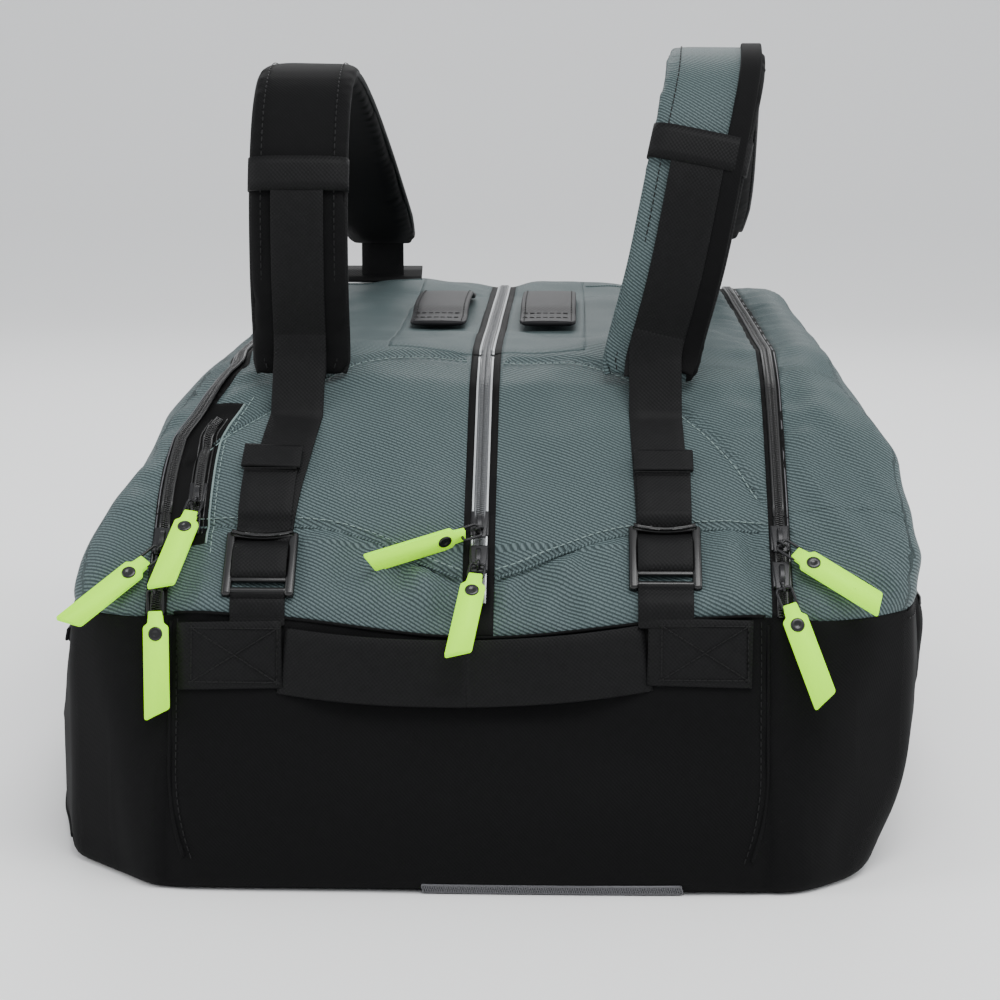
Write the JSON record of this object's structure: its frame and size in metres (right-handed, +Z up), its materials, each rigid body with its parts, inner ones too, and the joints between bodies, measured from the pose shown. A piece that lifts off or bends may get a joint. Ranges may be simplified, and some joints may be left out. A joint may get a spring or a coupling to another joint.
{
  "type": "racket bag",
  "caption": "Long padded racket bag with ribbed green top, black lower panels, side and middle zipped compartments, shoulder straps, handles and bright rubber zip pulls.",
  "frame": {"origin": "on the floor plane under the middle of the bag", "axes": "+X across the bag to the wearer-side right, +Y from the front end to the rear end, +Z up"},
  "size_m": [0.5552, 0.7814, 0.4655],
  "materials": {
    "green_fabric": "satin ribbed weave",
    "black_fabric": "plain matt weave",
    "black_webbing": "woven webbing",
    "charcoal_satin": "satin",
    "silver_tape": "bright woven tape",
    "black_plastic": "smooth moulded",
    "dark_metal": "satin black",
    "neon_rubber": "matt"
  },
  "bodies": {
    "bag": {"base_panel": "black_fabric", "front_end_panel": "black_fabric", "rear_end_panel": "black_fabric", "left_side_panel": "black_fabric", "right_side_panel": "black_fabric", "front_yoke": "green_fabric", "rear_yoke": "green_fabric", "front_slope_left": "green_fabric", "front_slope_right": "green_fabric", "rear_slope_left": "green_fabric", "rear_slope_right": "green_fabric", "left_top_strip": "green_fabric", "right_top_strip": "green_fabric", "slope_zip": "silver_tape", "left_front_corner": "green_fabric", "left_fixed_zip": "black_webbing", "right_front_corner": "green_fabric", "right_fixed_zip": "black_webbing", "pocket_zip": "black_webbing", "accessory_pocket": "black_fabric", "dividers": "black_fabric", "side_pockets": "black_fabric", "sewn_webbing": "black_webbing", "left_lower_web": "black_webbing", "right_lower_web": "black_webbing", "rear_anchors": "black_webbing", "base_zip": "black_fabric"},
    "left_flap_body": {"left_flap": "green_fabric", "left_flap_zip": "black_webbing"},
    "right_flap_body": {"right_flap": "green_fabric", "right_flap_zip": "black_webbing"},
    "middle_left_body": {"middle_flap_left": "green_fabric", "middle_zip_left": "silver_tape", "grab_handle_left": "charcoal_satin"},
    "middle_right_body": {"middle_flap_right": "green_fabric", "middle_zip_right": "silver_tape", "grab_handle_right": "charcoal_satin"},
    "left_strap": {"left_pad": "black_fabric", "left_keeper": "black_webbing", "left_strap_web": "black_webbing"},
    "right_strap": {"right_pad": "black_fabric", "right_keeper": "black_webbing", "right_strap_web": "black_webbing"},
    "left_buckle_body": {"left_buckle": "black_plastic"},
    "right_buckle_body": {"right_buckle": "black_plastic"},
    "end_handle_body": {"end_handle": "black_webbing"},
    "centre_upper_slider_body": {"centre_upper_slider": "dark_metal"},
    "centre_upper_pull_body": {"centre_upper_pull": "neon_rubber"},
    "centre_lower_slider_body": {"centre_lower_slider": "dark_metal"},
    "centre_lower_pull_body": {"centre_lower_pull": "neon_rubber"},
    "right_upper_slider_body": {"right_upper_slider": "dark_metal"},
    "right_upper_pull_body": {"right_upper_pull": "neon_rubber"},
    "right_lower_slider_body": {"right_lower_slider": "dark_metal"},
    "right_lower_pull_body": {"right_lower_pull": "neon_rubber"},
    "left_upper_slider_body": {"left_upper_slider": "dark_metal"},
    "left_upper_pull_body": {"left_upper_pull": "neon_rubber"},
    "left_lower_slider_body": {"left_lower_slider": "dark_metal"},
    "left_lower_pull_body": {"left_lower_pull": "neon_rubber"},
    "pocket_slider_body": {"pocket_slider": "dark_metal"},
    "pocket_pull_body": {"pocket_pull": "neon_rubber"}
  },
  "joints": [
    {"name": "left_flap_hinge", "type": "hinge", "parent": "bag", "child": "left_flap_body", "pos_m": [-0.2498, 0, 0.152], "axis": [0, -1, 0], "range_deg": [0, 75]},
    {"name": "right_flap_hinge", "type": "hinge", "parent": "bag", "child": "right_flap_body", "pos_m": [0.2686, 0, 0.152], "axis": [0, 1, 0], "range_deg": [0, 75]},
    {"name": "middle_left_hinge", "type": "hinge", "parent": "bag", "child": "middle_left_body", "pos_m": [-0.06, 0, 0.2852], "axis": [0, -1, 0], "range_deg": [0, 70]},
    {"name": "middle_right_hinge", "type": "hinge", "parent": "bag", "child": "middle_right_body", "pos_m": [0.06, 0, 0.2852], "axis": [0, 1, 0], "range_deg": [0, 70]},
    {"name": "left_strap_hinge", "type": "hinge", "parent": "bag", "child": "left_strap", "pos_m": [-0.142, 0, 0.29], "axis": [0, 1, 0], "range_deg": [-80, 0]},
    {"name": "right_strap_hinge", "type": "hinge", "parent": "bag", "child": "right_strap", "pos_m": [0.184, 0, 0.29], "axis": [0, -1, 0], "range_deg": [-80, 0]},
    {"name": "left_buckle_hinge", "type": "hinge", "parent": "bag", "child": "left_buckle_body", "pos_m": [-0.123, -0.35526, 0.16581], "axis": [1, 0, 0], "range_deg": [0, 25]},
    {"name": "right_buckle_hinge", "type": "hinge", "parent": "bag", "child": "right_buckle_body", "pos_m": [0.105, -0.35086, 0.16989], "axis": [1, 0, 0], "range_deg": [0, 25]},
    {"name": "end_handle_hinge", "type": "hinge", "parent": "bag", "child": "end_handle_body", "pos_m": [0, -0.369, 0.1405], "axis": [-1, 0, 0], "range_deg": [0, 55]},
    {"name": "centre_upper_slide", "type": "slide", "parent": "bag", "child": "centre_upper_slider_body", "axis": [0, 0.7332, 0.68], "range_m": [0, 0.105]},
    {"name": "centre_upper_swing", "type": "hinge", "parent": "centre_upper_slider_body", "child": "centre_upper_pull_body", "pos_m": [0, -0.32751, 0.19619], "axis": [-0.4067, 0.6698, 0.6212], "range_deg": [0, 60]},
    {"name": "centre_lower_slide", "type": "slide", "parent": "bag", "child": "centre_lower_slider_body", "axis": [0, 0.7332, 0.68], "range_m": [0, 0.0035]},
    {"name": "centre_lower_swing", "type": "hinge", "parent": "centre_lower_slider_body", "child": "centre_lower_pull_body", "pos_m": [0, -0.34511, 0.17987], "axis": [-0.9903, 0.102, 0.0946], "range_deg": [0, 70]},
    {"name": "right_upper_slide", "type": "slide", "parent": "bag", "child": "right_upper_slider_body", "axis": [0, 0.7332, 0.68], "range_m": [0, 0.1]},
    {"name": "right_upper_swing", "type": "hinge", "parent": "right_upper_slider_body", "child": "right_upper_pull_body", "pos_m": [0.17, -0.33411, 0.19007], "axis": [-0.6293, -0.5698, -0.5285], "range_deg": [0, 70]},
    {"name": "right_lower_slide", "type": "slide", "parent": "bag", "child": "right_lower_slider_body", "axis": [0, 0.7332, 0.68], "range_m": [0, 0.003]},
    {"name": "right_lower_swing", "type": "hinge", "parent": "right_lower_slider_body", "child": "right_lower_pull_body", "pos_m": [0.17, -0.35611, 0.16967], "axis": [-0.9455, -0.1478, -0.2901], "range_deg": [0, 75]},
    {"name": "left_upper_slide", "type": "slide", "parent": "bag", "child": "left_upper_slider_body", "axis": [0, 0.7332, 0.68], "range_m": [0, 0.06]},
    {"name": "left_upper_swing", "type": "hinge", "parent": "left_upper_slider_body", "child": "left_upper_pull_body", "pos_m": [-0.18, -0.33851, 0.18599], "axis": [-0.7431, 0.4906, 0.455], "range_deg": [0, 12]},
    {"name": "left_lower_slide", "type": "slide", "parent": "bag", "child": "left_lower_slider_body", "axis": [0, 0.7332, 0.68], "range_m": [0, 0.0035]},
    {"name": "left_lower_swing", "type": "hinge", "parent": "left_lower_slider_body", "child": "left_lower_pull_body", "pos_m": [-0.18, -0.35904, 0.16695], "axis": [-0.9994, -0.009, -0.0337], "range_deg": [0, 75]},
    {"name": "pocket_slide", "type": "slide", "parent": "bag", "child": "pocket_slider_body", "axis": [0, 0.7332, 0.68], "range_m": [0, 0.038]},
    {"name": "pocket_swing", "type": "hinge", "parent": "pocket_slider_body", "child": "pocket_pull_body", "pos_m": [-0.163, -0.31358, 0.20911], "axis": [-0.9816, 0.1399, 0.1298], "range_deg": [0, 70]}
  ]
}
